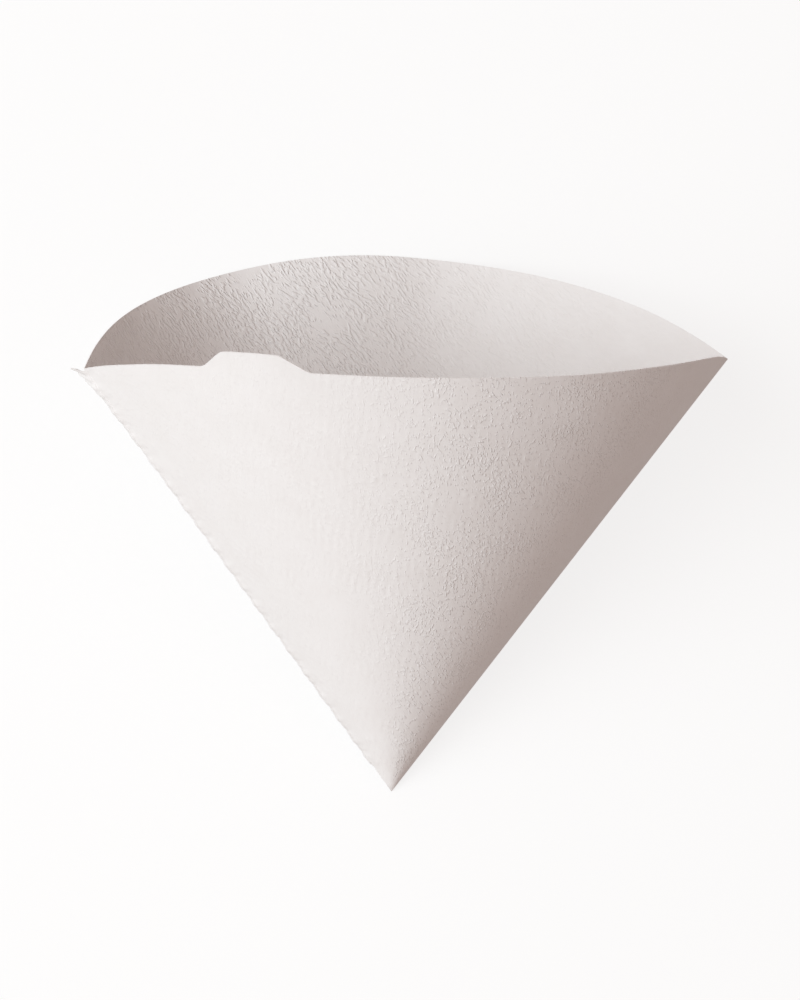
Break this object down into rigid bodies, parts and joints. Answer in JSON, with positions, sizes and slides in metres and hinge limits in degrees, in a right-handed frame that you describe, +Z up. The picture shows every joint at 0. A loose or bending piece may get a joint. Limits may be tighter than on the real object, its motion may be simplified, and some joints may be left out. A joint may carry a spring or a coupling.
{
  "type": "cone coffee filter",
  "caption": "Pointed cone filter of creped white paper, folded and crimped at the seam, with a pull tab at the rim; holds ground coffee in a dripper.",
  "frame": {"origin": "bottom centre of the bounding box, with the filter lying on its back panel", "axes": "+X from the crimped seam to the folded edge, +Y from the tip towards the mouth, +Z up from the surface it lies on"},
  "size_m": [0.1388, 0.117, 0.0903],
  "materials": {
    "paper": "matte, creped"
  },
  "bodies": {
    "root": {"filter_paper": "paper"}
  },
  "joints": []
}
